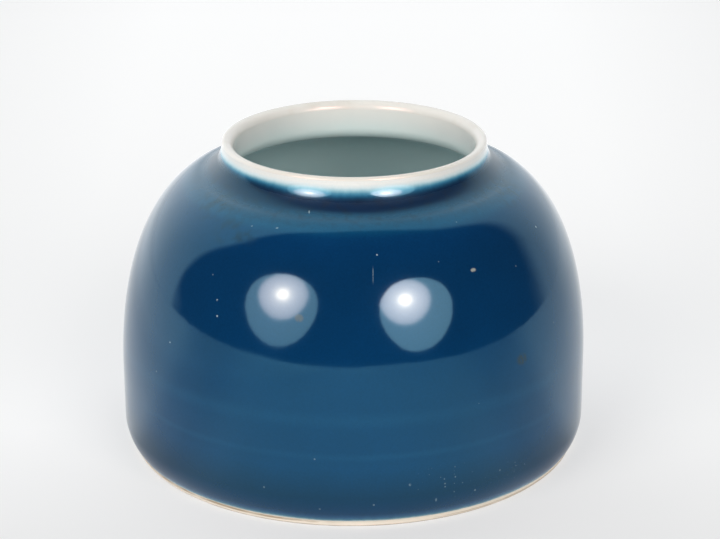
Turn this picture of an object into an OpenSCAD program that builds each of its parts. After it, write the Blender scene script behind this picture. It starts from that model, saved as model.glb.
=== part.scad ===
// Round water pot for a writing desk, in glazed porcelain.
// Thrown in two sections that are luted together, then coated with glaze.
// The axis is Z and the foot ring stands on Z = 0. Sizes are in millimetres.

/* [Body] */
// Widest diameter, over the glaze
body_d = 110; // [96:1:130]
// Height from the foot to the top of the lip
height = 74; // [68:0.5:90]
// Height at which the foot curve runs into the upright wall
upright_from = 7.3; // [5:0.1:12]
// Height at which the upright wall starts to curve inwards
upright_to = 20.5; // [19:0.5:30]
// How far below the top of the shoulder the curve lets go of the upright direction of the wall
shoulder_drop = 11; // [8:0.5:16]
// How far the curve holds the slope of the shoulder
shoulder_reach = 4.5; // [4:0.5:12]
// Fall of the shoulder where it meets the cove, in degrees
shoulder_slope = 13; // [8:1:20]
// Thickness of the wall with its glaze on both sides
wall_t = 3.1; // [2.6:0.1:4.5]

/* [Mouth] */
// Diameter of the opening
mouth_d = 56.2; // [48:0.2:62]
// Width of the lip
lip_w = 2.6; // [2.4:0.1:3.6]
// Small rounding on the outside of the lip; a larger one to the inside takes the rest of its width
lip_outer_r = 0.7; // [0.6:0.1:1.3]
// Radius of the hollow cove between shoulder and lip
cove_r = 7.3; // [5:0.1:9]
// Rounding where the mouth opens into the hollow
neck_edge_r = 3.2; // [1:0.1:4]

/* [Foot and floor] */
// How far the bare foot ring stands in from the widest wall
foot_set_in = 2.3; // [1.5:0.1:6]
// Height of the bare band between the table and the glaze
foot_band = 1.6; // [1:0.1:3]
// Width of the foot ring
foot_ring_w = 5.2; // [3:0.1:9]
// Bevel on both edges of the foot ring
foot_bevel = 0.4; // [0.2:0.1:0.8]
// Depth of the glazed recess inside the foot ring
recess = 2; // [1.9:0.1:3.5]
// Rounding at the root of the recess
recess_root_r = 1; // [0.6:0.1:1]
// Thickness of the clay floor
floor_t = 3.6; // [2.5:0.1:5]
// Rounding between floor and wall on the inside
floor_corner_r = 9; // [4:0.5:11]

/* [Seam] */
// Height of the seam between the two sections
seam_z = 17.9; // [17:0.1:30]
// Thickness of the slip in the seam
slip_t = 0.5; // [0.3:0.1:1]

/* [Glaze] */
// Thickness of each coat of glaze
glaze_t = 0.4; // [0.2:0.05:0.5]

/* [Hidden] */
$fn = 144;

// Steps along the long curve of the wall and along each rounding
curve_steps = 40;
arc_steps = 10;

body_r = body_d / 2;
mouth_r = mouth_d / 2;
lip_inner_r = lip_w - lip_outer_r;
neck_r = mouth_r + lip_w;
foot_r = body_r - foot_set_in;
floor_z = recess + floor_t + 2 * glaze_t;

// The foot curve is an arc of the clay: it leaves the foot ring at the bare band and meets the
// upright wall without a corner
foot_curve_in = foot_set_in - glaze_t;
foot_curve_up = upright_from - foot_band;
clay_foot_curve_r = (foot_curve_in ^ 2 + foot_curve_up ^ 2) / (2 * foot_curve_in);
foot_curve_r = clay_foot_curve_r + glaze_t;
foot_curve_angle = atan2(foot_curve_up, clay_foot_curve_r - foot_curve_in);

// Directions on the shoulder where it meets the cove
shoulder_up = [sin(shoulder_slope), cos(shoulder_slope)];
shoulder_out = [cos(shoulder_slope), -sin(shoulder_slope)];

cove_centre = [neck_r + cove_r, height - lip_outer_r];
shoulder_top = cove_centre - cove_r * shoulder_up;
under_shoulder = shoulder_top - wall_t * shoulder_up;

// The rounding under the mouth touches its bore and the underside of the shoulder
neck_edge_x = mouth_r + neck_edge_r;
neck_edge_rise = (neck_edge_r - (neck_edge_x - under_shoulder.x) * shoulder_up.x) / shoulder_up.y;
neck_edge_centre = [neck_edge_x, under_shoulder.y + neck_edge_rise];

// Control points of the curve from the upright wall to the shoulder
wall_curve_points = [
  [body_r, upright_to],
  [body_r, shoulder_top.y - shoulder_drop],
  shoulder_top + shoulder_reach * shoulder_out,
  shoulder_top
];

// A surface is a list of pairs: a point of the profile and the direction that the surface faces

// Rounding about a centre; a negative radius makes it hollow
function rounding(centre, r, from, to) =
  [for (i = [0 : arc_steps])
    let (angle = from + (to - from) * i / arc_steps, face = [cos(angle), sin(angle)])
    [centre + r * face, face]];

// Cubic curve through four control points, and the direction in which it runs
function curve_point(p, t) =
  (1 - t) ^ 3 * p[0] + 3 * (1 - t) ^ 2 * t * p[1] + 3 * (1 - t) * t ^ 2 * p[2] + t ^ 3 * p[3];
function curve_run(p, t) =
  (1 - t) ^ 2 * (p[1] - p[0]) + 2 * (1 - t) * t * (p[2] - p[1]) + t ^ 2 * (p[3] - p[2]);
function curve_surface(p) =
  [for (i = [0 : curve_steps])
    let (t = i / curve_steps, run = curve_run(p, t))
    [curve_point(p, t), [run.y, -run.x] / norm(run)]];

function reversed(list) = [for (i = [len(list) - 1 : -1 : 0]) list[i]];
function last(list) = list[len(list) - 1];

// Points of a surface at a depth below it
function points(surface, depth = 0) = [for (s = surface) s[0] - depth * s[1]];
// The other side of a wall of the given thickness, in the opposite order
function other_side(surface, thickness) =
  [for (s = reversed(surface)) [s[0] - thickness * s[1], -s[1]]];

wall_curve = curve_surface(wall_curve_points);

// Glazed outside, from the foot up to the end of the cove
outside = concat(
  rounding([body_r - foot_curve_r, upright_from], foot_curve_r, -foot_curve_angle, 0),
  wall_curve,
  rounding(cove_centre, -cove_r, 90 - shoulder_slope, 0));

// Over the lip, from the neck to the bore
lip = concat(
  rounding([neck_r - lip_outer_r, height - lip_outer_r], lip_outer_r, 0, 90),
  rounding([mouth_r + lip_inner_r, height - lip_inner_r], lip_inner_r, 90, 180));

// Inside, from the bore down to the middle of the floor
inside = concat(
  rounding(neck_edge_centre, neck_edge_r, 180, 270 - shoulder_slope),
  other_side(wall_curve, wall_t),
  rounding([body_r - wall_t - floor_corner_r, floor_z + floor_corner_r], -floor_corner_r, 180, 90),
  [[[0, floor_z], [0, 1]]]);

// Recess under the base, from the middle to the foot ring
recess_r = foot_r - foot_ring_w - glaze_t;
underside = concat(
  [[[0, recess], [0, -1]]],
  rounding([recess_r - recess_root_r, recess - recess_root_r], -recess_root_r, 270, 180));

// Bare foot ring, from the recess to the outside
foot_ring = [
  [recess_r + glaze_t, foot_bevel],
  [recess_r + glaze_t + foot_bevel, 0],
  [foot_r - foot_bevel, 0],
  [foot_r, foot_bevel]
];

module clay_profile() {
  polygon(concat(points(underside, glaze_t), foot_ring, points(outside, glaze_t), points(lip, glaze_t),
                 points(inside, glaze_t)));
}

// The part of the clay between two heights
module clay_section(from, to) {
  rotate_extrude()
    intersection() {
      clay_profile();
      translate([0, from]) square([body_r, to - from]);
    }
}

// A coat between the finished surface and the clay below it
module coat(finished, clay) {
  rotate_extrude() polygon(concat(finished, reversed(clay)));
}

module lower_section() {
  color("antiquewhite") clay_section(0, seam_z - slip_t / 2);
}

module upper_section() {
  color("linen") clay_section(seam_z + slip_t / 2, height);
}

module luting_slip() {
  color("wheat") clay_section(seam_z - slip_t / 2, seam_z + slip_t / 2);
}

// The coat thins out to nothing at its lower edge
module outer_glaze() {
  finished = points(outside);
  color("#0c3f68") coat([for (i = [1 : len(finished) - 1]) finished[i]], points(outside, glaze_t));
}

module lip_glaze() {
  color("#ece7df") coat(points(lip), points(lip, glaze_t));
}

module inner_glaze() {
  surface = concat([last(lip)], inside);
  color("#d3dcda") coat(points(surface), points(surface, glaze_t));
}

// The coat thins out to nothing on the side of the foot ring
module base_glaze() {
  finished = points(underside);
  color("#dde2e0") coat([for (i = [0 : len(finished) - 2]) finished[i]], points(underside, glaze_t));
}

lower_section();
upper_section();
luting_slip();
outer_glaze();
lip_glaze();
inner_glaze();
base_glaze();
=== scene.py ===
import math

import bpy
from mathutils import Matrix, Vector


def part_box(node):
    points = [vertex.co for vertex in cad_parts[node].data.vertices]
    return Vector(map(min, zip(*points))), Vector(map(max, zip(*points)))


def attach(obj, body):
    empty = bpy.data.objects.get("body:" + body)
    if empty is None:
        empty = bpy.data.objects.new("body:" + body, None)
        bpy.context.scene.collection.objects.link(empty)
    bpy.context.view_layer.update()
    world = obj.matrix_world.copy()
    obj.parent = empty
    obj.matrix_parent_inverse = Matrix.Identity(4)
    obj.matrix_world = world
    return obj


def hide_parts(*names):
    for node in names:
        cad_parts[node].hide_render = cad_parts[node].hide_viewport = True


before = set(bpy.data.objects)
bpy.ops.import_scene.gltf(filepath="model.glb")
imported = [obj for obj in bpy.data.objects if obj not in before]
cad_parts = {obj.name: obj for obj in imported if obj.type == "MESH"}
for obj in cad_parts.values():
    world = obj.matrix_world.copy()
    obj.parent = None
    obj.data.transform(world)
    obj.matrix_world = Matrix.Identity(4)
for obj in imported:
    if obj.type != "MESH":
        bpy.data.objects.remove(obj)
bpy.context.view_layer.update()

# Sizes in metres, read from the frame
BODY_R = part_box("outer_glaze")[1].y
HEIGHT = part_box("lip_glaze")[1].z
NECK_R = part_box("lip_glaze")[1].y
COVE_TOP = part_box("outer_glaze")[1].z
GLAZE = BODY_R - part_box("upper_section")[1].y
WALL = BODY_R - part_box("inner_glaze")[1].y + GLAZE
FLOOR_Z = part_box("inner_glaze")[0].z + GLAZE
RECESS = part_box("base_glaze")[1].z - GLAZE
RECESS_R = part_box("base_glaze")[1].y - GLAZE
SEAM_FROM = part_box("luting_slip")[0].z
SEAM_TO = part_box("luting_slip")[1].z

LIP_OUTER_R = HEIGHT - COVE_TOP
LIP_INNER_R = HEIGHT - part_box("lip_glaze")[0].z

# Sizes of the turned outline in metres, as the solids have them
COVE_R = 0.0073
NECK_EDGE_R = 0.0032
UPRIGHT_FROM = 0.0073
UPRIGHT_TO = 0.0205
SHOULDER_DROP = 0.011
SHOULDER_REACH = 0.0045
SHOULDER_SLOPE = math.radians(13)
FOOT_SET_IN = 0.0023
FOOT_BAND = 0.0016
FOOT_BEVEL = 0.0004
RECESS_ROOT_R = 0.001
FLOOR_CORNER_R = 0.009

FOOT_R = BODY_R - FOOT_SET_IN
MOUTH_R = NECK_R - LIP_OUTER_R - LIP_INNER_R

# Steps around the pot, and how near points are merged along an outline and after its turn
AROUND = 192
OUTLINE_MERGE = 1e-7
TURN_MERGE = 1e-6

# The small faults of a pot thrown by hand
LEAN = 0.0107
WOBBLE = 0.0002
WOBBLE_SPAN = 0.05
SMOOTH_BELOW = math.radians(40)

# Directions in an outline, as (r, z)
OUT = (1, 0)
IN = (-1, 0)
UP = (0, 1)
DOWN = (0, -1)


# Outlines: each is a list of pairs, a point (r, z) and the direction that the surface faces there

def rounding(centre, radius, start, end, steps):
    """An arc about a centre, between two angles in degrees. A negative radius makes it hollow."""
    pairs = []
    for i in range(steps + 1):
        angle = math.radians(start + (end - start) * i / steps)
        facing = Vector((math.cos(angle), math.sin(angle)))
        pairs.append((Vector(centre) + radius * facing, facing))
    return pairs


def straight(start, end, facing, steps):
    """Points of a straight stretch between two corners, without the corners."""
    start, end = Vector(start), Vector(end)
    return [(start.lerp(end, i / steps), Vector(facing)) for i in range(1, steps)]


def wall_curve(steps):
    """The long curve from the upright wall to the shoulder."""
    up = Vector((math.sin(SHOULDER_SLOPE), math.cos(SHOULDER_SLOPE)))
    out = Vector((up.y, -up.x))
    d = Vector((NECK_R + COVE_R, COVE_TOP)) - COVE_R * up
    a = Vector((BODY_R, UPRIGHT_TO))
    b = Vector((BODY_R, d.y - SHOULDER_DROP))
    c = d + SHOULDER_REACH * out
    pairs = []
    for i in range(steps + 1):
        t = i / steps
        s = 1 - t
        point = s ** 3 * a + 3 * s ** 2 * t * b + 3 * s * t ** 2 * c + t ** 3 * d
        run = s ** 2 * (b - a) + 2 * s * t * (c - b) + t ** 2 * (d - c)
        pairs.append((point, Vector((run.y, -run.x)).normalized()))
    return pairs


def outside_outline():
    """The finished outside, from the bare band at the foot up to the end of the cove."""
    inward = FOOT_SET_IN - GLAZE
    upward = UPRIGHT_FROM - FOOT_BAND
    clay_r = (inward ** 2 + upward ** 2) / (2 * inward)
    angle = math.degrees(math.atan2(upward, clay_r - inward))
    radius = clay_r + GLAZE
    foot = rounding((BODY_R - radius, UPRIGHT_FROM), radius, -angle, 0, steps=18)
    wall = straight((BODY_R, UPRIGHT_FROM), (BODY_R, UPRIGHT_TO), OUT, steps=12)
    slope = math.degrees(SHOULDER_SLOPE)
    cove = rounding((NECK_R + COVE_R, COVE_TOP), -COVE_R, 90 - slope, 0, steps=20)
    return foot + wall + wall_curve(steps=64) + cove[1:]


def lip_outline():
    """Over the lip, from the neck to the bore."""
    outer_centre = (NECK_R - LIP_OUTER_R, HEIGHT - LIP_OUTER_R)
    inner_centre = (MOUTH_R + LIP_INNER_R, HEIGHT - LIP_INNER_R)
    outer = rounding(outer_centre, LIP_OUTER_R, 0, 90, steps=10)
    inner = rounding(inner_centre, LIP_INNER_R, 90, 180, steps=14)
    return outer + inner[1:]


def inside_outline():
    """The finished inside, from the bore down to the middle of the floor."""
    shoulder = reversed(wall_curve(steps=40))
    under = [(point - WALL * facing, -facing) for point, facing in shoulder]
    corner, facing = under[0]
    edge_x = MOUTH_R + NECK_EDGE_R
    edge_z = corner.y + (NECK_EDGE_R + (edge_x - corner.x) * facing.x) / -facing.y
    slope = math.degrees(SHOULDER_SLOPE)
    edge = rounding((edge_x, edge_z), NECK_EDGE_R, 180, 270 - slope, steps=12)
    bore = straight((MOUTH_R, HEIGHT - LIP_INNER_R), (MOUTH_R, edge_z), IN, steps=8)
    shelf = straight(edge[-1][0], corner, facing, steps=4)
    wall_r = BODY_R - WALL
    bend_r = wall_r - FLOOR_CORNER_R
    bend_z = FLOOR_Z + FLOOR_CORNER_R
    wall = straight((wall_r, UPRIGHT_TO), (wall_r, bend_z), IN, steps=4)
    bend = rounding((bend_r, bend_z), -FLOOR_CORNER_R, 180, 90, steps=12)
    floor = straight((bend_r, FLOOR_Z), (0, FLOOR_Z), UP, steps=10)
    middle = (Vector((0, FLOOR_Z)), Vector(UP))
    return bore + edge + shelf + under + wall + bend + floor + [middle]


def underside_outline():
    """The finished recess under the base, from the middle to the foot ring."""
    root = (RECESS_R - RECESS_ROOT_R, RECESS - RECESS_ROOT_R)
    middle = (Vector((0, RECESS)), Vector(DOWN))
    flat = straight((0, RECESS), (root[0], RECESS), DOWN, steps=10)
    return [middle] + flat + rounding(root, -RECESS_ROOT_R, 270, 180, steps=8)


def below(outline, depth):
    """Points at a depth under an outline."""
    return [point - depth * facing for point, facing in outline]


def coat(outline):
    """A coat of glaze: its finished side, then its clay side."""
    return below(outline, 0) + list(reversed(below(outline, GLAZE)))


def crossing(points, level):
    """The place where a run of points first crosses a level."""
    for a, b in zip(points, points[1:]):
        if (a.y - level) * (b.y - level) <= 0 and a.y != b.y:
            return a.lerp(b, (level - a.y) / (b.y - a.y))


OUTSIDE = outside_outline()
LIP_ROUND = lip_outline()
INSIDE = inside_outline()
UNDERSIDE = underside_outline()
FOOT_RING = [
    Vector((RECESS_R + GLAZE, FOOT_BEVEL)),
    Vector((RECESS_R + GLAZE + FOOT_BEVEL, 0)),
    Vector((FOOT_R - FOOT_BEVEL, 0)),
    Vector((FOOT_R, FOOT_BEVEL)),
]
CLAY_OUTSIDE = FOOT_RING + below(OUTSIDE + LIP_ROUND, GLAZE)
CLAY_INSIDE = below(INSIDE, GLAZE)


def clay(low, high):
    """The clay wall between two levels: its outside upwards, then its inside downwards."""
    outer = [p for p in CLAY_OUTSIDE if low <= p.y <= high]
    inner = [p for p in CLAY_INSIDE if low <= p.y <= high]
    if low > 0:
        outer = [crossing(CLAY_OUTSIDE, low)] + outer
        inner = inner + [crossing(CLAY_INSIDE, low)]
    if high < HEIGHT:
        outer = outer + [crossing(CLAY_OUTSIDE, high)]
        inner = [crossing(CLAY_INSIDE, high)] + inner
    return outer + inner


def base_coat():
    """The coat in the recess, which thins out to nothing at the foot ring."""
    return below(UNDERSIDE[:-1], 0) + list(reversed(below(UNDERSIDE, GLAZE)))


# Pieces by node: outline and material slot. The outer coat, too, thins out to nothing at the foot.
PIECES = {
    "lower_section": (below(UNDERSIDE, GLAZE) + clay(0, SEAM_FROM), "porcelain"),
    "upper_section": (clay(SEAM_TO, HEIGHT), "porcelain"),
    "luting_slip": (clay(SEAM_FROM, SEAM_TO), "slip"),
    "outer_glaze": (coat(OUTSIDE)[1:], "blue_glaze"),
    "lip_glaze": (coat(LIP_ROUND), "white_glaze"),
    "inner_glaze": (coat(LIP_ROUND[-1:] + INSIDE), "clear_glaze"),
    "base_glaze": (base_coat(), "clear_glaze"),
}


def throw(name, outline):
    """Draws an outline from one point and turns it round the axis of the pot."""
    start = outline[0]
    bpy.ops.object.select_all(action="DESELECT")
    bpy.ops.mesh.primitive_plane_add(size=GLAZE, location=(start.x, 0, start.y))
    bpy.ops.object.transform_apply(location=True)
    piece = bpy.context.object
    piece.name = piece.data.name = name
    bpy.ops.object.mode_set(mode="EDIT")
    bpy.ops.mesh.merge(type="CENTER")
    for here, there in zip(outline, outline[1:] + outline[:1]):
        step = (there.x - here.x, 0, there.y - here.y)
        bpy.ops.mesh.extrude_vertices_move(TRANSFORM_OT_translate={"value": step})
    bpy.ops.mesh.select_all(action="SELECT")
    bpy.ops.mesh.remove_doubles(threshold=OUTLINE_MERGE)
    bpy.ops.mesh.spin(steps=AROUND, angle=2 * math.pi, center=(0, 0, 0), axis=(0, 0, 1))
    bpy.ops.mesh.select_all(action="SELECT")
    bpy.ops.mesh.remove_doubles(threshold=TURN_MERGE)
    bpy.ops.mesh.normals_make_consistent(inside=False)
    bpy.ops.object.mode_set(mode="OBJECT")
    return piece


def uneven(name, basis):
    """Broad, soft noise for the unevenness of the wall."""
    texture = bpy.data.textures.new(name, "CLOUDS")
    texture.noise_basis = basis
    texture.noise_scale = WOBBLE_SPAN
    texture.noise_depth = 0
    return texture


UNEVEN_X = uneven("uneven_x", "BLENDER_ORIGINAL")
UNEVEN_Y = uneven("uneven_y", "IMPROVED_PERLIN")


def push(piece, direction, strength, texture=None):
    """Pushes a piece sideways above the upright wall, more towards the lip."""
    push_by = piece.modifiers.new("push", "DISPLACE")
    push_by.direction = direction
    push_by.strength = strength
    push_by.vertex_group = "rise"
    push_by.mid_level = 0
    if texture:
        push_by.texture = texture
        push_by.texture_coords = "LOCAL"
        push_by.mid_level = 0.5
    bpy.ops.object.modifier_apply(modifier=push_by.name)


def set_by_hand(piece):
    """Gives a piece the slight lean and unevenness of a pot thrown by hand."""
    rise = piece.vertex_groups.new(name="rise")
    span = HEIGHT - UPRIGHT_TO
    for vertex in piece.data.vertices:
        rise.add([vertex.index], max(0, vertex.co.z - UPRIGHT_TO) / span, "REPLACE")
    push(piece, "X", LEAN * span)
    push(piece, "X", WOBBLE, UNEVEN_X)
    push(piece, "Y", WOBBLE, UNEVEN_Y)
    piece.vertex_groups.clear()
    bpy.ops.object.shade_smooth_by_angle(angle=SMOOTH_BELOW)


# Finishes, with places in millimetres

MM = 1000


class Nodes:
    """Adds nodes to a tree. Each step gives the socket that the next one takes."""

    def __init__(self, tree):
        self.tree = tree

    def node(self, kind, inputs, **settings):
        """A new node, with its inputs linked or set."""
        node = self.tree.nodes.new(kind)
        for key, value in settings.items():
            setattr(node, key, value)
        for key, value in inputs.items():
            self.set(node.inputs[key], value)
        return node

    def set(self, socket, value):
        """Links a socket to another one, or gives it a number or a colour."""
        if isinstance(value, bpy.types.NodeSocket):
            self.tree.links.new(value, socket)
        elif socket.type == "RGBA":
            socket.default_value = (*value, 1)
        else:
            socket.default_value = value

    def calc(self, operation, a, b=0.0):
        """One step of arithmetic."""
        return self.node("ShaderNodeMath", {0: a, 1: b}, operation=operation).outputs[0]

    def plus(self, a, b):
        return self.calc("ADD", a, b)

    def times(self, a, b):
        return self.calc("MULTIPLY", a, b)

    def largest(self, first, *others):
        """The largest of several values."""
        for other in others:
            first = self.calc("MAXIMUM", first, other)
        return first

    def length(self, vector):
        return self.node("ShaderNodeVectorMath", {0: vector}, operation="LENGTH").outputs["Value"]

    def fade(self, value, low, high):
        """From 0 at low to 1 at high, softly."""
        inputs = {"Value": value, "From Min": low, "From Max": high}
        return self.node("ShaderNodeMapRange", inputs, interpolation_type="SMOOTHSTEP").outputs[0]

    def spread(self, value, low, high):
        """Takes a value between 0 and 1 to a value between low and high."""
        inputs = {"Value": value, "To Min": low, "To Max": high}
        return self.node("ShaderNodeMapRange", inputs).outputs[0]

    def band(self, value, centre, half):
        """1 at the centre, and softly down to 0 at half a width away from it."""
        away = self.calc("ABSOLUTE", self.calc("SUBTRACT", value, centre))
        return self.fade(away, half, 0)

    def mix(self, amount, a, b, blend="MIX"):
        """Colour b over colour a, by an amount between 0 and 1."""
        inputs = {0: amount, 6: a, 7: b}
        return self.node("ShaderNodeMix", inputs, data_type="RGBA", blend_type=blend).outputs[2]

    def ramp(self, value, stops):
        """Colours at given values, mixed in between."""
        low, high = stops[0][0], stops[-1][0]
        inputs = {"Value": value, "From Min": low, "From Max": high}
        part = self.node("ShaderNodeMapRange", inputs).outputs[0]
        node = self.node("ShaderNodeValToRGB", {"Fac": part})
        elements = node.color_ramp.elements
        while len(elements) < len(stops):
            elements.new(0.5)
        for element, (at, colour) in zip(elements, stops):
            element.position = (at - low) / (high - low)
            element.color = (*colour, 1)
        return node.outputs["Color"]

    def levels(self, value, stops):
        """Numbers at given values, mixed in between."""
        return self.ramp(value, [(at, (number,) * 3) for at, number in stops])


# Where the soft edge of a speck or a spot begins, as a share of its reach
SPECK_CORE = 0.5
SPOT_CORE = 0.4


class Finish(Nodes):
    """A material for the pot. Places and spans in it are in millimetres."""

    def __init__(self, name, **shader_inputs):
        self.material = bpy.data.materials.new(name)
        self.material.use_nodes = True
        super().__init__(self.material.node_tree)
        self.shader = self.tree.nodes["Principled BSDF"]
        for key, value in shader_inputs.items():
            self.set(self.shader.inputs[key.replace("_", " ")], value)
        metres = self.node("ShaderNodeTexCoord", {}).outputs["Object"]
        self.place = self.mapped(metres, (MM, MM, MM))
        axes = self.node("ShaderNodeSeparateXYZ", {0: self.place}).outputs
        self.across = axes["X"]
        self.depth = axes["Y"]
        self.height = axes["Z"]
        self.radius = self.length(self.mapped(self.place, (1, 1, 0)))

    def mapped(self, vector, scale):
        """A place with each axis scaled."""
        return self.node("ShaderNodeMapping", {"Vector": vector, "Scale": scale}).outputs[0]

    def noise(self, span, detail=2.0, tall=1.0):
        """Cloudy noise about 0.5, with patches of a span. Tall ones run up and down."""
        vector = self.mapped(self.place, (1 / span, 1 / span, 1 / (span * tall)))
        inputs = {"Vector": vector, "Scale": 1, "Detail": detail}
        return self.node("ShaderNodeTexNoise", inputs).outputs[0]

    def specks(self, span, size, share):
        """Scattered specks: one in each cell of a span, in a share of the cells."""
        vector = self.mapped(self.place, (1 / span, 1 / span, 1 / span))
        cells = self.node("ShaderNodeTexVoronoi", {"Vector": vector, "Scale": 1})
        chosen = self.node("ShaderNodeSeparateColor", {0: cells.outputs["Color"]})
        reach = self.times(chosen.outputs[1], size / span)
        dot = self.fade(self.calc("DIVIDE", cells.outputs["Distance"], reach), 1, SPECK_CORE)
        return self.times(dot, self.calc("LESS_THAN", chosen.outputs[0], share))

    def spot(self, centre, reach):
        """1 near a place, and softly down to 0 at its reach in X, Y and Z."""
        inputs = {0: self.place, 1: centre}
        away = self.node("ShaderNodeVectorMath", inputs, operation="SUBTRACT").outputs[0]
        part = self.mapped(away, tuple(1 / r for r in reach))
        return self.fade(self.length(part), 1, SPOT_CORE)

    def zone(self, places):
        """1 near any of several places, each with its reach."""
        return self.largest(*(self.spot(*place) for place in places))

    def bump(self, height, depth):
        """Unevenness of the surface, with a depth in millimetres."""
        node = self.node("ShaderNodeBump", {"Height": height, "Distance": depth / MM})
        self.set(self.shader.inputs["Normal"], node.outputs[0])


# Colours of the glazes by height in millimetres
LIP_WHITE = (0.84, 0.825, 0.795)
LIP_CREAM = (0.77, 0.735, 0.685)
# In the blue, the darker stretch from 3.7 to 8 mm is painted shade near the foot. The dark band
# from 67.3 to 69.2 mm is partly glaze lying thick in the cove and partly painted shade and painted
# reflection.
BLUE_BY_HEIGHT = (
    (1.6, (0.52, 0.58, 0.56)),
    (1.85, (0.17, 0.28, 0.33)),
    (2.1, (0.04, 0.125, 0.19)),
    (2.4, (0.016, 0.08, 0.165)),
    (2.9, (0.006, 0.038, 0.12)),
    (3.7, (0.002, 0.014, 0.066)),
    (8, (0.0012, 0.014, 0.054)),
    (15, (0.0014, 0.032, 0.106)),
    (35, (0.0014, 0.034, 0.109)),
    (46, (0.0014, 0.03, 0.097)),
    (58, (0.0014, 0.028, 0.092)),
    (62, (0.0014, 0.03, 0.102)),
    (63.6, (0.0016, 0.034, 0.112)),
    (64.8, (0.003, 0.058, 0.145)),
    (66.4, (0.003, 0.054, 0.128)),
    (67.3, (0.003, 0.013, 0.054)),
    (67.8, (0.003, 0.014, 0.052)),
    (69.2, (0.004, 0.019, 0.058)),
    (69.7, (0.01, 0.05, 0.11)),
    (70.2, (0.024, 0.13, 0.24)),
    (70.7, (0.08, 0.27, 0.4)),
    (71.3, (0.32, 0.55, 0.64)),
    (71.9, (0.69, 0.79, 0.83)),
    (72.6, LIP_WHITE),
)
CLEAR_BY_HEIGHT = (
    (3.6, (0.76, 0.82, 0.81)),
    (4.8, (0.54, 0.72, 0.74)),
    (40, (0.54, 0.72, 0.74)),
    (60, (0.62, 0.78, 0.79)),
    (67, (0.67, 0.78, 0.78)),
    (70, (0.77, 0.81, 0.8)),
    (73, (0.87, 0.86, 0.83)),
)
# Heights over which the neck and the dull cove come and go, and the blue goes
NECK_COMES = (66, 69)
NECK_GOES = (72, 70.4)
COVE_COMES = (63.4, 68)
COVE_GOES = (70.2, 68.4)
BLUE_GOES = (71.5, 69.5)

# How far the edge of the blue runs and drifts up and down, and how much higher it lies at the
# sides. The tint of the clear glaze drifts too.
RUN = 0.15
DRIFT = 0.25
SIDES_HIGHER = 0.7
SIDES_COME = (8, 26)
CLEAR_DRIFT = 1.5

# How the blue varies in clouds and in its grain, and the share of this that the white keeps
CLOUDS = (0.82, 1.18)
GRAIN = (0.85, 1.15)
WHITE_KEEPS = 0.25

# Throwing rings that show through the blue glaze: height and half a width. The first is the seam.
RINGS = ((MM * (SEAM_FROM + SEAM_TO) / 2, 1.2), (26.5, 2.5))
RING_STRENGTH = 0.28

# Colours and strengths of what lies in the glazes and on the clay
RING_BLUE = (0.012, 0.085, 0.19)
# Dark patches in the cove: partly dust and stain, partly painted shade of the hollow
STAIN_AND_SHADE = (0.008, 0.012, 0.026)
STAIN_AND_SHADE_STRENGTH = 0.5
SCUFF = (0.01, 0.02, 0.032)
SCUFF_STRENGTH = 0.55
PALE = (0.45, 0.55, 0.6)
PIT_STRENGTH = 0.24
SPECK = (0.25, 0.2, 0.15)
SPECK_STRENGTH = 0.6
BROWN = (0.27, 0.2, 0.12)
BROWN_STRENGTH = 0.9

# Levels of the noise over which the cove's stains and painted shade, scuffs, marks, cream and burnt
# places come, and the depth at which the cream in front comes
STAIN_AND_SHADE_PATCHES = (0.45, 0.7)
SCUFF_PATCHES = (0.4, 0.7)
MARK_PATCHES = (0.25, 0.5)
CREAM_PATCHES = (0.5, 0.75)
BURNT_PATCHES = (0.2, 0.55)
CREAM_COMES = (-12, -27)

# The shine of the blue glaze: the tint of what it mirrors, its roughness, and how much duller the
# cove and the scuffs are
BLUE_MIRROR = (0.265, 0.78, 1)
BLUE_ROUGH = (0.04, 0.1)
COVE_DULLER = 0.26
SCUFF_DULLER = 0.2

# Marks on the blue glaze: place and reach in millimetres, colour and strength
MARKS = (
    ((26.4, -39.6, 55.8), (0.9, 0.9, 0.5), (0.5, 0.5, 0.43), 0.65),
    ((37.6, -39.1, 34.4), (2.2, 2.2, 1.7), (0.03, 0.032, 0.03), 0.75),
    ((-11.5, -49.4, 48.6), (1.3, 2.0, 1.1), (0.09, 0.06, 0.035), 0.7),
    ((4.5, -46.3, 57.3), (0.16, 3.0, 2.3), (0.25, 0.35, 0.42), 0.45),
    ((48.9, -23.6, 34.0), (0.5, 0.4, 1.1), (0.01, 0.015, 0.02), 0.9),
    ((-16.4, -36.1, 64.5), (0.4, 0.25, 0.25), PALE, 0.6),
    ((-22.0, -33.6, 64.1), (0.3, 0.25, 0.25), PALE, 0.3),
    ((-9.4, -32.8, 67.0), (0.15, 0.7, 0.5), PALE, 0.7),
    ((5.4, -43.5, 60.9), (0.25, 0.3, 0.25), PALE, 0.8),
    ((41.5, -19.7, 58.6), (0.3, 0.3, 0.5), PALE, 0.7),
    ((-29.6, -40.6, 49.4), (0.3, 0.3, 0.3), PALE, 0.8),
    ((-29.6, -42.0, 46.2), (0.3, 0.3, 0.3), PALE, 0.7),
    ((-40.8, -34.7, 37.1), (0.35, 0.35, 0.35), PALE, 0.8),
    ((18.3, -51.8, 6.1), (0.3, 0.3, 0.6), PALE, 0.22),
    ((27.1, -47.8, 6.5), (0.3, 0.3, 0.3), PALE, 0.25),
    ((32.8, -44.1, 9.6), (0.3, 0.3, 0.3), PALE, 0.2),
    ((12.5, -53.6, 10.7), (0.4, 0.3, 0.4), PALE, 0.25),
    ((4.5, -54.8, 6.4), (0.3, 0.3, 0.3), PALE, 0.25),
    ((-7.4, -54.2, 5.2), (0.3, 0.3, 0.3), PALE, 0.2),
    ((-19.7, -51.3, 9.2), (0.3, 0.3, 0.3), PALE, 0.2),
)
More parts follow.
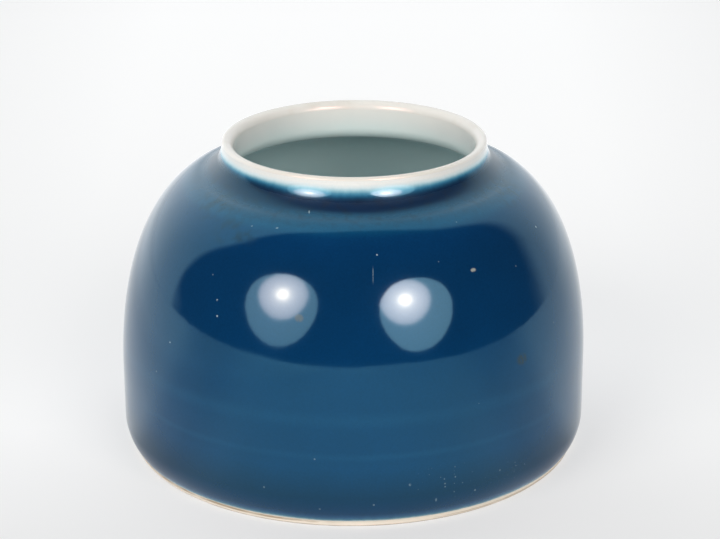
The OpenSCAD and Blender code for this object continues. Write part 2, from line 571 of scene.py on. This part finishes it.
# Places where the glaze is scuffed or pitted, with their reach
SCUFFS = (
    ((-30.7, -22.7, 65.3), (9, 9, 4)),
    ((-25.8, -33.2, 62.6), (8, 7, 4)),
    ((34.7, -15.0, 65.9), (8, 12, 4)),
    ((35.0, 2.5, 67.0), (3, 7, 3)),
)
PITS = (((20.2, -51.0, 10.3), (11, 6, 5)), ((34.0, -42.0, 9.0), (8, 8, 4)))


def glaze_height(f):
    """Height in the blue glaze, uneven with its runs, and taken lower beside the neck."""
    runs = f.spread(f.noise(span=1.2, tall=8), -RUN, RUN)
    drift = f.spread(f.noise(span=9), -DRIFT, DRIFT)
    neck = f.times(f.fade(f.height, *NECK_COMES), f.fade(f.height, *NECK_GOES))
    sides = f.times(f.fade(f.calc("ABSOLUTE", f.across), *SIDES_COME), neck)
    lower = f.times(sides, -SIDES_HIGHER)
    return f.plus(f.plus(f.height, lower), f.plus(runs, drift))


def blue_with_painted_shade(f, height):
    """Blue by height, with painted shade near the foot, a cove band that is partly thick glaze and
    partly painted shade and reflection, throwing rings, clouds and a fine grain that the white
    hardly has.
    """
    deep = f.ramp(height, BLUE_BY_HEIGHT)
    rings = f.largest(*(f.band(height, *ring) for ring in RINGS))
    strength = f.spread(f.noise(span=22), 0, RING_STRENGTH)
    deep = f.mix(f.times(rings, strength), deep, RING_BLUE)
    cloud = f.spread(f.noise(span=16, detail=3), *CLOUDS)
    grain = f.spread(f.noise(span=0.5, detail=1), *GRAIN)
    varied = f.spread(f.fade(height, *BLUE_GOES), WHITE_KEEPS, 1)
    return f.mix(varied, deep, f.times(cloud, grain), "MULTIPLY")


def pitted_and_marked(f, colour):
    """Fine pits all over, more of them in some places, and the single marks."""
    crowded = f.times(f.zone(PITS), f.specks(span=1, size=0.26, share=0.8))
    pits = f.largest(f.specks(span=4.5, size=0.3, share=0.2), crowded)
    colour = f.mix(f.times(pits, PIT_STRENGTH), colour, PALE)
    for place, reach, mark, strength in MARKS:
        worn = f.fade(f.noise(span=0.8, detail=3), *MARK_PATCHES)
        amount = f.times(f.times(f.spot(place, reach), worn), strength)
        colour = f.mix(amount, colour, mark)
    return colour


def blue_glaze():
    """Deep blue glaze that thins to teal and white at the lip, and to teal at the foot."""
    f = Finish("blue_glaze", IOR=1.5, Specular_IOR_Level=0.95, Specular_Tint=BLUE_MIRROR)
    height = glaze_height(f)
    cove = f.times(f.fade(height, *COVE_COMES), f.fade(height, *COVE_GOES))
    # Dark patches in the cove, partly dust and partly painted shade of the hollow
    stained_and_shaded = f.times(cove, f.fade(f.noise(span=1.8, detail=4), *STAIN_AND_SHADE_PATCHES))
    scuffed = f.times(f.zone(SCUFFS), f.fade(f.noise(span=2.6, detail=4), *SCUFF_PATCHES))

    colour = blue_with_painted_shade(f, height)
    colour = f.mix(f.times(stained_and_shaded, STAIN_AND_SHADE_STRENGTH), colour, STAIN_AND_SHADE)
    colour = f.mix(f.times(scuffed, SCUFF_STRENGTH), colour, SCUFF)
    f.set(f.shader.inputs["Base Color"], pitted_and_marked(f, colour))

    dull = f.largest(f.times(cove, COVE_DULLER), f.times(scuffed, SCUFF_DULLER))
    rough = f.plus(f.spread(f.noise(span=9, detail=4), *BLUE_ROUGH), dull)
    f.set(f.shader.inputs["Roughness"], rough)
    f.bump(f.noise(span=5), depth=0.012)
    return f.material


def white_glaze():
    """White glaze of the lip, creamy in faint stains and in front."""
    f = Finish("white_glaze", Roughness=0.2, Specular_IOR_Level=0.4)
    stains = f.fade(f.noise(span=9, detail=4), *CREAM_PATCHES)
    creamy = f.largest(stains, f.fade(f.depth, *CREAM_COMES))
    f.set(f.shader.inputs["Base Color"], f.mix(creamy, LIP_WHITE, LIP_CREAM))
    return f.material


def clear_glaze():
    """Clear glaze on white clay, faintly blue-green where it lies thick."""
    f = Finish("clear_glaze", Roughness=0.12)
    drift = f.spread(f.noise(span=11, detail=3), -CLEAR_DRIFT, CLEAR_DRIFT)
    colour = f.ramp(f.plus(f.height, drift), CLEAR_BY_HEIGHT)
    specks = f.times(f.specks(span=7, size=0.5, share=0.15), SPECK_STRENGTH)
    f.set(f.shader.inputs["Base Color"], f.mix(specks, colour, SPECK))
    return f.material


# The two clays, and how much paler and deeper they get
PORCELAIN = (0.72, 0.66, 0.57)
SLIP = (0.7, 0.63, 0.53)
CLAY_VARIES = 0.1

# Brown lines at the left of the foot, at its right and under its rim: height and half a width,
# and where they come, across the pot or by the radius. They drift up and down.
LEFT_LINE = (1, 0.4)
LEFT_COMES = (0, -14)
RIGHT_LINE = (0.6, 0.25)
RIGHT_COMES = (10, 30)
RIGHT_STRENGTH = 0.7
UNDER_LINE = (0, 0.4)
UNDER_COMES = (MM * FOOT_R - 1.6, MM * FOOT_R - 0.5)
LINE_DRIFT = 0.15


def bare_clay(name, colour):
    """Bare fired clay, with brown lines round the foot ring."""
    f = Finish(name, Roughness=0.75)
    paler = tuple((1 + CLAY_VARIES) * c for c in colour)
    deeper = tuple((1 - CLAY_VARIES) * c for c in colour)
    body = f.mix(f.noise(span=3, detail=4), deeper, paler)
    level = f.plus(f.height, f.spread(f.noise(span=4, detail=3), -LINE_DRIFT, LINE_DRIFT))
    left = f.times(f.band(level, *LEFT_LINE), f.fade(f.across, *LEFT_COMES))
    right = f.times(f.band(level, *RIGHT_LINE), f.fade(f.across, *RIGHT_COMES))
    under = f.times(f.band(level, *UNDER_LINE), f.fade(f.radius, *UNDER_COMES))
    lines = f.largest(left, f.times(right, RIGHT_STRENGTH), under)
    burnt = f.times(lines, f.fade(f.noise(span=7, detail=3), *BURNT_PATCHES))
    f.set(f.shader.inputs["Base Color"], f.mix(f.times(burnt, BROWN_STRENGTH), body, BROWN))
    f.bump(f.noise(span=0.4, detail=3), depth=0.02)
    return f.material


FINISHES = {
    "porcelain": bare_clay("bare_porcelain", PORCELAIN),
    "slip": bare_clay("fired_slip", SLIP),
    "blue_glaze": blue_glaze(),
    "white_glaze": white_glaze(),
    "clear_glaze": clear_glaze(),
}

for node, (outline, slot) in PIECES.items():
    piece = throw("pot_" + node, outline)
    set_by_hand(piece)
    piece.data.materials.append(FINISHES[slot])
    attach(piece, "root")
    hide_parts(node)


# Stage: the edges of the floor in metres, its greys by depth and by side, which are painted light
# and shade, and how blue they are
FLOOR_LEFT = -1.6
FLOOR_RIGHT = 0.55
FLOOR_FRONT = -1.4
FLOOR_BACK = 4.6
FLOOR_PAINTED_LIGHT_BY_DEPTH = ((-0.4, 0.25), (-0.1, 0.31), (0, 0.5), (0.4, 0.69))
FLOOR_PAINTED_LIGHT_BY_SIDE = (
    (-0.6, 1.1), (-0.22, 1.1), (-0.15, 0.86), (-0.08, 1), (0.08, 1), (0.2, 0.75), (0.6, 0.5),
)
FLOOR_BLUE = 1.01
# The floor's own faint light, from the foot outwards: as it is, and as the glazes mirror it
GLOW_FROM = FOOT_R - 0.003
GLOW_FULL = FOOT_R - 0.0003
GLOW_STRENGTH = 0.49
GLOW = (0.98, 0.99, 1)
GLOW_BEHIND = (1.78, 1.8, 1.82)
GLOW_BESIDE = (0.56, 0.57, 0.59)
# Where the mirrored ones come and go: by Y over the distance from the middle of the pot, and for
# BEHIND_AWAY by that distance
BEHIND_COMES = (0.4, 0.85)
BEHIND_AWAY = (0.05, 0.4)
BESIDE_COMES = (-0.02, -0.28)
BESIDE_GOES = (-0.75, -0.45)


def pale_floor():
    """Pale table, painted brighter to the back and darker to the right, and without its own light
    under the pot.
    """
    material = bpy.data.materials.new("pale_floor")
    material.use_nodes = True
    n = Nodes(material.node_tree)
    shader = material.node_tree.nodes["Principled BSDF"].inputs
    place = n.node("ShaderNodeTexCoord", {}).outputs["Object"]
    way = n.node("ShaderNodeSeparateXYZ", {0: place}).outputs
    away = n.length(place)

    # Painted light and shade: the floor's grey falls off to the front and to the right
    greys = [(at, (grey, grey, FLOOR_BLUE * grey)) for at, grey in FLOOR_PAINTED_LIGHT_BY_DEPTH]
    depth = n.ramp(way["Y"], greys)
    side = n.levels(way["X"], FLOOR_PAINTED_LIGHT_BY_SIDE)
    n.set(shader["Base Color"], n.mix(1, depth, side, "MULTIPLY"))

    mirrored = n.node("ShaderNodeLightPath", {}).outputs["Is Glossy Ray"]
    turn = n.calc("DIVIDE", way["Y"], away)
    behind = n.times(n.fade(turn, *BEHIND_COMES), n.fade(away, *BEHIND_AWAY))
    beside = n.times(n.fade(turn, *BESIDE_COMES), n.fade(turn, *BESIDE_GOES))
    glow = n.mix(n.times(behind, mirrored), GLOW, GLOW_BEHIND)
    glow = n.mix(n.times(beside, mirrored), glow, GLOW_BESIDE)
    lit = n.fade(away, GLOW_FROM, GLOW_FULL)
    n.set(shader["Emission Color"], n.mix(lit, (0, 0, 0), glow))
    n.set(shader["Emission Strength"], GLOW_STRENGTH)
    n.set(shader["Roughness"], 0.9)
    n.set(shader["Specular IOR Level"], 0)
    return material


bpy.ops.object.select_all(action="DESELECT")
bpy.ops.mesh.primitive_plane_add(size=1)
floor = bpy.context.object
floor.location = ((FLOOR_LEFT + FLOOR_RIGHT) / 2, (FLOOR_FRONT + FLOOR_BACK) / 2, 0)
floor.scale = (FLOOR_RIGHT - FLOOR_LEFT, FLOOR_BACK - FLOOR_FRONT, 1)
bpy.ops.object.transform_apply(location=True, scale=True)
floor.name = "floor"
floor.data.materials.append(pale_floor())


# The white of the studio, by X of the direction: the Y at which it begins, half the width of its
# soft edge, and how bright it is
WHITE_FROM = (
    (-1, 0.095), (-0.994, 0.135), (-0.987, 0.177), (-0.978, 0.208), (-0.964, 0.208), (-0.94, 0.165),
    (-0.855, 0.068), (-0.78, 0.01), (-0.69, -0.029), (-0.37, 0.03), (-0.1, 0.06), (0, 0.092),
    (0.13, 0.115), (0.3, 0.1), (0.46, 0.12), (0.54, 0.18), (0.67, 0.31), (0.75, 0.35), (0.86, 0.36),
    (0.965, 0.3), (1, 0.22),
)
WHITE_SOFT = ((-1, 0.045), (-0.5, 0.04), (0, 0.03), (1, 0.11))
WHITE_LEVEL = (
    (-1, 0.82), (-0.88, 0.88), (-0.75, 1.08), (-0.55, 1.22), (-0.3, 1.15), (-0.1, 1),
    (0.5, 1), (0.72, 0.84), (0.86, 0.62), (1, 0.58),
)
# Added on both sides where Y is compared, because a ramp holds no number below 0
WHITE_LIFT = 0.1
# Its colour near the horizon and overhead, the Z over which the one becomes the other, the dim
# colour in front, and what the camera sees
WHITE_LOW = (1.12, 1.15, 1.17)
WHITE_HIGH = (0.82, 0.85, 0.86)
OVERHEAD = (0.2, 1)
DIM = (0.04, 0.04, 0.04)
SEEN = (0.95, 0.95, 0.95)


def studio():
    """White behind and overhead, dim in front, and plain white to the camera."""
    world = bpy.data.worlds.new("studio")
    world.use_nodes = True
    n = Nodes(world.node_tree)
    direction = n.node("ShaderNodeTexCoord", {}).outputs["Generated"]
    way = n.node("ShaderNodeSeparateXYZ", {0: direction}).outputs
    start = n.levels(way["X"], [(x, y + WHITE_LIFT) for x, y in WHITE_FROM])
    past = n.calc("SUBTRACT", n.plus(way["Y"], WHITE_LIFT), start)
    edge = n.calc("DIVIDE", past, n.levels(way["X"], WHITE_SOFT))
    white = n.mix(n.fade(way["Z"], *OVERHEAD), WHITE_LOW, WHITE_HIGH)
    white = n.mix(1, white, n.levels(way["X"], WHITE_LEVEL), "MULTIPLY")
    colour = n.mix(n.fade(edge, -1, 1), DIM, white)
    by_camera = n.node("ShaderNodeLightPath", {}).outputs["Is Camera Ray"]
    n.set(world.node_tree.nodes["Background"].inputs["Color"], n.mix(by_camera, colour, SEEN))
    return world


bpy.context.scene.world = studio()


# Each lamp lights the pot as an even disc about its core. The glazes mirror its face, which is a
# little nearer and brighter round the core. Places of face and core are in degrees, seen from the
# pot, and the face's radiances go by the degrees from the core.
LAMP_AWAY = 1.5
FACE_AWAY = 1.49
LAMP_SPREAD = 18
LAMP_LIGHT = (5.3, 5.15, 4.9)
LAMP_FACE = (
    (0, (72, 26, 19)),
    (2.5, (53, 18, 13)),
    (3.5, (38.5, 13.3, 10.4)),
    (4.5, (30, 11, 8.9)),
    (6, (25.3, 9.3, 7.8)),
    (8, (21, 8, 6.9)),
    (10, (18, 7, 6.1)),
    (11.5, (13.8, 5.7, 5.1)),
    (12.5, (5.6, 3.2, 3)),
    (13.5, (3.5, 2.4, 2.3)),
    (30, (2.6, 1.95, 1.85)),
)
# Name, face, core, strength of the face
LAMPS = (
    ("left_lamp", (-38.6, 22.8), (-38.8, 28.4), 0.93),
    ("right_lamp", (32.3, 21), (27.8, 27.2), 1.1),
)


def lamp_disc(name, angles, away):
    """A round lamp that faces the pot, with a radiance of 1."""
    azimuth, elevation = (math.radians(angle) for angle in angles)
    flat = away * math.cos(elevation)
    height = away * math.sin(elevation)
    place = Vector((flat * math.sin(azimuth), -flat * math.cos(azimuth), height))
    light = bpy.data.lights.new(name, "AREA")
    light.shape = "DISK"
    light.size = 2 * away * math.tan(math.radians(LAMP_SPREAD))
    light.energy = math.pi * math.pi * (light.size / 2) ** 2
    lamp = bpy.data.objects.new(name, light)
    lamp.location = place
    lamp.rotation_euler = place.to_track_quat("Z", "Y").to_euler()
    bpy.context.scene.collection.objects.link(lamp)
    return lamp


def shade_face(light, middle, core):
    """Gives the face of a lamp its radiances round the core."""
    light.use_nodes = True
    n = Nodes(light.node_tree)
    width = 2 * LAMP_SPREAD
    place = n.node("ShaderNodeNewGeometry", {}).outputs["Parametric"]
    spot = tuple(0.5 + (c - m) / width for c, m in zip(core, middle)) + (0,)
    inputs = {0: place, 1: spot}
    away = n.node("ShaderNodeVectorMath", inputs, operation="DISTANCE").outputs["Value"]
    colour = n.ramp(n.times(away, width), LAMP_FACE)
    n.set(light.node_tree.nodes["Emission"].inputs["Color"], colour)


for name, middle, core, strength in LAMPS:
    lamp = lamp_disc(name, core, LAMP_AWAY)
    lamp.data.color = LAMP_LIGHT
    lamp.visible_glossy = False

    face = lamp_disc(name + "_face", middle, FACE_AWAY)
    face.visible_diffuse = False
    face.data.energy *= strength
    shade_face(face.data, middle, core)


# Camera, with its place in metres and its lens in millimetres
CAMERA_PLACE = (0.0017, -0.5035, 0.2313)
CAMERA_DOWN = math.radians(20.697)
CAMERA_ROLL = -0.0046
CAMERA_LENS = 113.55
CAMERA_SENSOR = 36

camera = bpy.data.objects.new("camera", bpy.data.cameras.new("camera"))
camera.data.sensor_width = CAMERA_SENSOR
camera.data.lens = CAMERA_LENS
camera.location = CAMERA_PLACE
camera.rotation_mode = "ZYX"
camera.rotation_euler = (math.pi / 2 - CAMERA_DOWN, 0, CAMERA_ROLL)
bpy.context.scene.collection.objects.link(camera)
bpy.context.scene.camera = camera

bpy.context.scene.view_settings.view_transform = "Standard"
